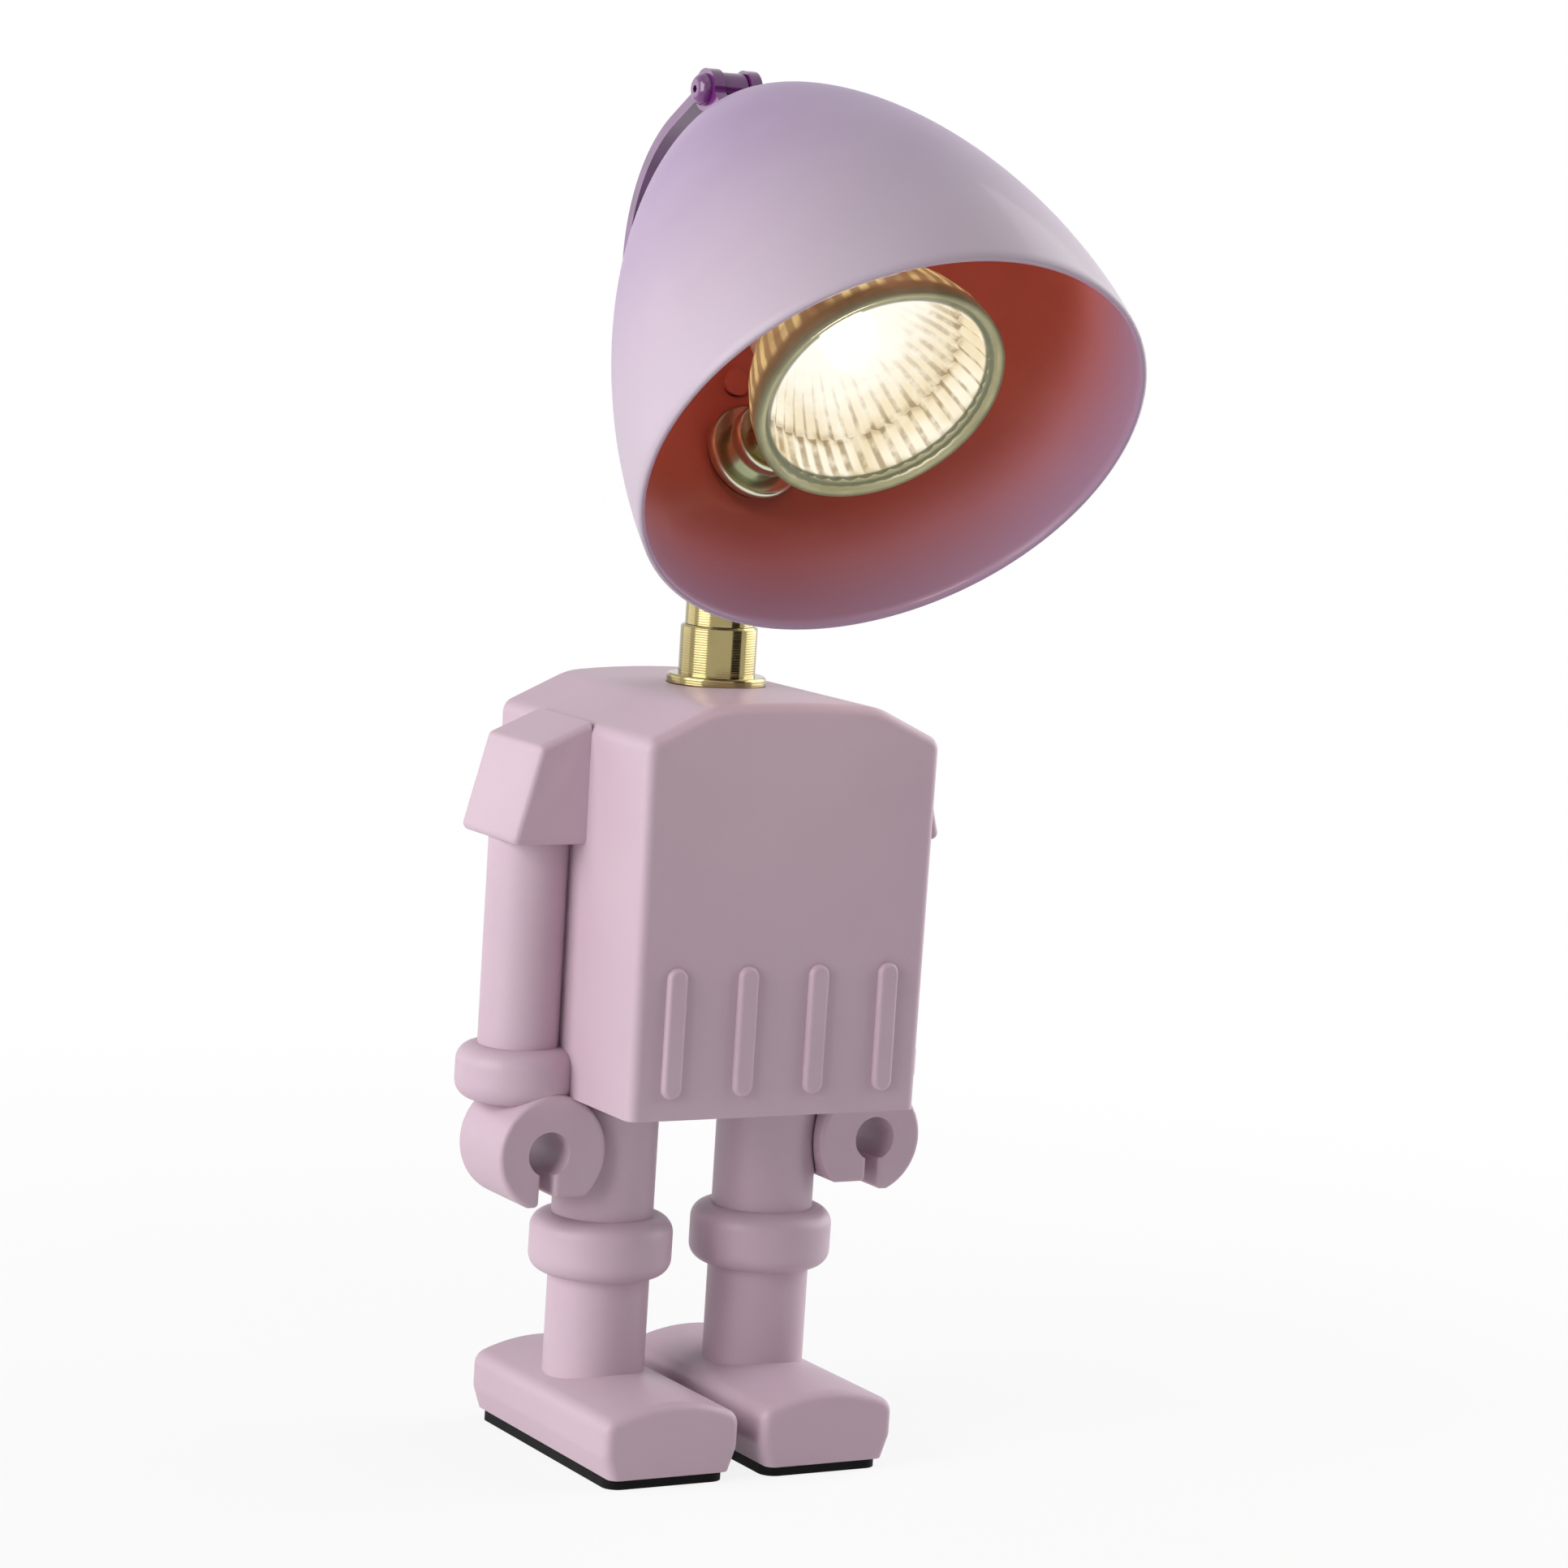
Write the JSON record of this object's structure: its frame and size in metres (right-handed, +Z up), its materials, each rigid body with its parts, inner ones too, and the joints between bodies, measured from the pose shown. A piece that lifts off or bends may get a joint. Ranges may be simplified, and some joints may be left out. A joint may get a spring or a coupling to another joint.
{
  "type": "candle warmer lamp",
  "caption": "Table lamp shaped as a toy robot: a cast figure with clip hands, a brass neck that swivels and tilts, and an egg-shaped metal shade around a reflector bulb.",
  "frame": {"origin": "on the standing plane, under the middle of the torso", "axes": "+Z up, -Y the way the figure faces, +X towards the figure's left hand"},
  "size_m": [0.1016, 0.1391, 0.2738],
  "materials": {
    "cast_body": "satin painted casting, pale lilac pink",
    "sole_rubber": "matte black",
    "zinc_steel": "zinc plated",
    "white_plastic": "off white",
    "lead_sleeve": "heat-proof sleeve",
    "polished_brass": "polished",
    "nickel": "polished nickel",
    "shade_enamel": "matte lilac outside, terracotta inside",
    "purple_enamel": "gloss deep purple",
    "porcelain": "white porcelain",
    "reflector": "facetted mirror coating",
    "bulb_glass": "clear",
    "capsule_glow": "frosted capsule"
  },
  "bodies": {
    "figure": {"torso": "cast_body", "arm_right": "cast_body", "arm_left": "cast_body", "arm_dowels": "zinc_steel", "leg_right": "cast_body", "leg_left": "cast_body", "sole_right": "sole_rubber", "sole_left": "sole_rubber", "leg_bolts": "zinc_steel", "leg_washers": "zinc_steel", "leg_nuts": "zinc_steel", "base_plate": "zinc_steel", "base_plate_screws": "zinc_steel", "cord_grommet": "sole_rubber", "terminal_block": "white_plastic", "torso_lead": "lead_sleeve", "neck_flange": "polished_brass", "neck_sleeve": "polished_brass", "neck_nipple": "polished_brass", "neck_washer": "zinc_steel", "neck_nut": "zinc_steel", "swivel_clip": "zinc_steel"},
    "neck": {"neck_tube": "polished_brass", "neck_fork": "polished_brass", "friction_washers": "white_plastic", "pivot_screw": "polished_brass", "pivot_nut": "polished_brass"},
    "head": {"holder_lead": "lead_sleeve", "shade_stem": "polished_brass", "stem_washer": "polished_brass", "stem_nut": "nickel", "shade": "shade_enamel", "handle_saddle": "purple_enamel", "handle_screw": "purple_enamel", "handle_strap": "purple_enamel", "handle_rivet": "purple_enamel", "saddle_stud": "zinc_steel", "holder_pillar": "zinc_steel", "holder_screws": "zinc_steel", "lampholder": "porcelain", "bulb_reflector": "reflector", "bulb_front_glass": "bulb_glass", "bulb_capsule": "capsule_glow", "bulb_base": "porcelain", "bulb_pins": "nickel"}
  },
  "joints": [
    {"name": "neck_swivel", "type": "hinge", "parent": "figure", "child": "neck", "pos_m": [0, 0.002, 0.165], "axis": [0, 0, 1], "range_deg": [-170, 170]},
    {"name": "head_tilt", "type": "hinge", "parent": "neck", "child": "head", "pos_m": [0, 0.002, 0.19443], "axis": [1, 0, 0], "range_deg": [-60, 15]}
  ]
}
